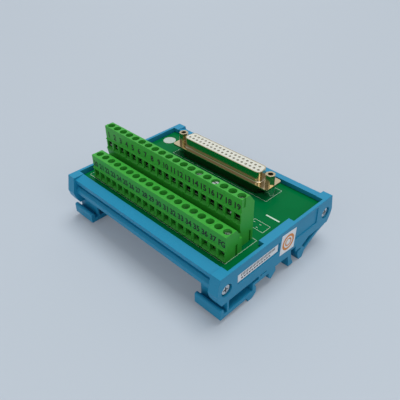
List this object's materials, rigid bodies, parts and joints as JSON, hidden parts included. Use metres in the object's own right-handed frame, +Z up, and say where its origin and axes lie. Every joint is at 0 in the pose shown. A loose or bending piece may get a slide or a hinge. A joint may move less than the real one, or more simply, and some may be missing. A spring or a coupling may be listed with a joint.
{
  "type": "terminal block adapter",
  "caption": "Breakout adapter that brings the contacts of a D-shaped socket connector out to two tiers of screw terminals, in a plastic carrier with feet for a rail",
  "frame": {"origin": "middle of the footprint, on the surface that the feet stand on", "axes": "+X along the terminal rows and the rail, +Y from the terminals to the connector, +Z up"},
  "size_m": [0.1131, 0.086, 0.0511],
  "materials": {
    "blue_plastic": "moulded satin blue plastic",
    "green_board": "glossy green solder resist over glass-fibre laminate",
    "green_plastic": "moulded satin green plastic",
    "plated_steel": "bright zinc plate",
    "plated_brass": "nickel-plated brass",
    "tinned_copper": "tin plate",
    "connector_steel": "reflective tin plate",
    "jackscrew_steel": "bright plate",
    "white_plastic": "ivory moulded plastic",
    "dark_plastic": "black moulded plastic",
    "gold_contacts": "gold plate",
    "label_film": "matt white label film"
  },
  "bodies": {
    "root": {"carrier_tray": "blue_plastic", "end_plate_left": "blue_plastic", "end_plate_right": "blue_plastic", "end_plate_screws": "plated_steel", "circuit_board": "green_board", "terminal_block_1": "green_plastic", "terminal_block_2": "green_plastic", "terminal_block_3": "green_plastic", "terminal_block_4": "green_plastic", "terminal_block_5": "green_plastic", "terminal_block_6": "green_plastic", "terminal_block_7": "green_plastic", "upper_clamp_screws": "plated_steel", "lower_clamp_screws": "plated_steel", "upper_clamp_cages": "plated_brass", "lower_clamp_cages": "plated_brass", "upper_contact_pins": "tinned_copper", "lower_contact_pins": "tinned_copper", "connector_front_shell": "connector_steel", "connector_rear_shell": "connector_steel", "connector_face": "white_plastic", "connector_rear_insulator": "dark_plastic", "connector_contacts": "gold_contacts", "jackscrews": "jackscrew_steel", "connector_spacers": "plated_steel", "jackscrew_nuts": "plated_steel", "strip_label": "label_film", "seal_label": "label_film", "board_label": "label_film"}
  },
  "joints": []
}
